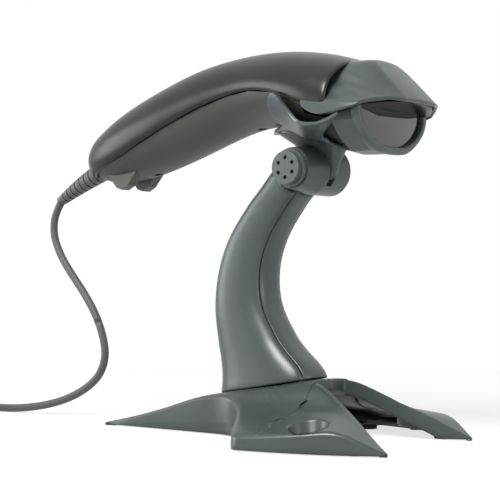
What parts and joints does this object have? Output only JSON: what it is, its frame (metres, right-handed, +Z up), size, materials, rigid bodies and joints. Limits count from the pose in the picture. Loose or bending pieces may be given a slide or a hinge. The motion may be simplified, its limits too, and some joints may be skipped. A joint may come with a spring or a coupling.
{
  "type": "barcode scanner",
  "caption": "Handheld barcode scanner with hooded nose and curved handle, resting in the cradle of a weighted tilting stand, with its cord coiled behind",
  "frame": {"origin": "on the surface the stand rests on, under the middle of its base, at the mount base_rest", "axes": "+X is the way the scanner points, +Y its left, +Z up; symmetric about the XZ plane"},
  "size_m": [0.3387, 0.1413, 0.1839],
  "materials": {
    "stand_plastic": "dark bluish green-grey satin plastic, finely spark-textured",
    "knob_plastic": "lighter grey satin plastic",
    "black_plastic": "satin near-black plastic",
    "olive_plastic": "satin dark olive-grey plastic",
    "spine_plastic": "satin mid-grey plastic",
    "nose_plastic": "satin grey-green plastic",
    "window_glass": "dark red-black gloss window",
    "clear_plastic": "clear moulded plastic",
    "rubber": "black rubber",
    "fin_rubber": "dark olive rubber",
    "cord_rubber": "matt dark grey flexible jacket",
    "steel": "plated steel",
    "brass": "brass",
    "board": "green board",
    "mirror": "front-silvered mirror",
    "plug_metal": "bright plated sheet"
  },
  "bodies": {
    "stand": {"base_shell": "stand_plastic", "base_weight": "steel", "base_feet": "rubber", "base_screws": "steel", "arm_shell": "stand_plastic", "arm_front_cover": "stand_plastic", "pivot_housing": "stand_plastic", "pivot_end_cap": "stand_plastic", "pivot_nut": "brass", "friction_washers": "rubber", "cable": "cord_rubber", "cable_coil": "cord_rubber", "coil_tie": "black_plastic", "cable_tail": "cord_rubber", "usb_plug_body": "cord_rubber", "usb_plug_shell": "plug_metal", "usb_contacts": "black_plastic"},
    "knob": {"tension_knob": "knob_plastic", "pivot_bolt": "steel"},
    "cradle": {"cradle_cup": "stand_plastic", "cradle_magnet": "steel"},
    "scanner": {"handle_upper_shell": "black_plastic", "handle_lower_shell": "olive_plastic", "head_hood": "stand_plastic", "top_spine": "spine_plastic", "light_pipe": "clear_plastic", "button_carrier": "black_plastic", "button_board": "board", "button_switch": "black_plastic", "nose_housing": "nose_plastic", "window_bezel": "nose_plastic", "window_seal": "rubber", "scan_window": "window_glass", "main_board": "board", "board_screws": "steel", "optics_deck": "black_plastic", "deck_screws": "steel", "mirror_drive": "steel", "laser_module": "brass", "collecting_mirror": "mirror", "light_sensor": "black_plastic", "cable_socket": "black_plastic", "shell_screws": "steel", "tail_fins": "fin_rubber", "modular_plug": "clear_plastic", "cable_boot": "cord_rubber"},
    "button": {"scan_button": "spine_plastic"},
    "mirror": {"scan_mirror": "mirror"}
  },
  "joints": [
    {"name": "tilt", "type": "hinge", "parent": "stand", "child": "cradle", "pos_m": [0.0167, 0, 0.1279], "axis": [0, 1, 0], "range_deg": [-15, 55], "deforming": ["cable"]},
    {"name": "knob_turn", "type": "hinge", "parent": "stand", "child": "knob", "pos_m": [0.0167, 0, 0.1279], "axis": [0, 1, 0], "continuous": true},
    {"name": "lift_off", "type": "slide", "parent": "cradle", "child": "scanner", "axis": [0, 0, 1], "range_m": [0, 0.07], "deforming": ["cable"]},
    {"name": "button_press", "type": "slide", "parent": "scanner", "child": "button", "axis": [0, 0, -1], "range_m": [0, 0.0008], "stiffness_N_per_m": 400},
    {"name": "mirror_swing", "type": "hinge", "parent": "scanner", "child": "mirror", "pos_m": [0.036, -0.004, 0.155], "axis": [0, 0, 1], "range_deg": [-10, 10], "stiffness_Nm_per_rad": 0.0008}
  ]
}
